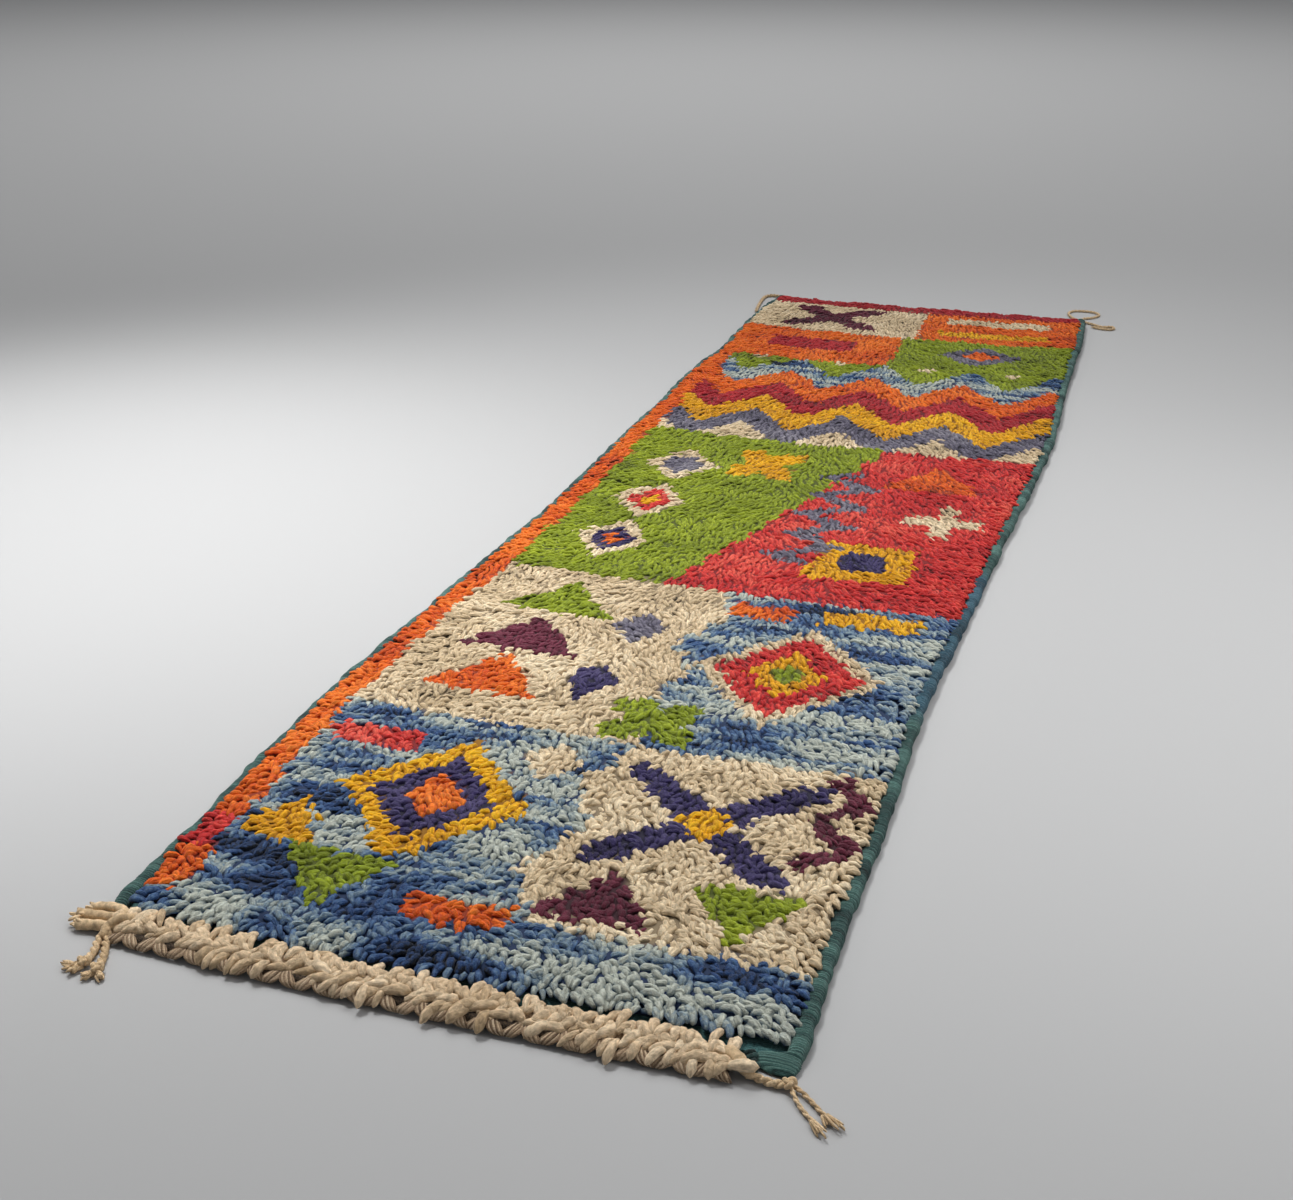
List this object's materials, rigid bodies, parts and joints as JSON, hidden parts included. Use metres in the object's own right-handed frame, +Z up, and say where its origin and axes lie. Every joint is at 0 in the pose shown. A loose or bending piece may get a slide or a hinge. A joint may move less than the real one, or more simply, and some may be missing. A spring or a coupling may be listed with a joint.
{
  "type": "moroccan pile rug",
  "caption": "Long hand-knotted pile runner lying flat: thick lumpy wool pile, overcast side cords, a braided near end, a flat far end and loose cords at its corners",
  "frame": {"origin": "on the floor under the middle of the woven cloth, on its underside", "axes": "+X across the rug to the right as seen from the braided end, +Y along the rug from the braided end to the flat end, +Z up"},
  "size_m": [0.9219, 3.2514, 0.0304],
  "materials": {
    "teal_weave": "matt wool weave",
    "wool_pile": "matt knotted wool, many colours in the visual model",
    "teal_cord": "matt overcast wool",
    "cream_roving": "matt soft roving",
    "brick_weave": "matt wool weave"
  },
  "bodies": {
    "root": {"ground_weave": "teal_weave", "pile": "wool_pile", "selvedge_left": "teal_cord", "selvedge_right": "teal_cord", "end_braid": "cream_roving", "end_band": "brick_weave", "tassel_near_left": "cream_roving", "tassel_near_right": "cream_roving", "tassel_far_left": "cream_roving", "tassel_far_right": "cream_roving"}
  },
  "joints": []
}
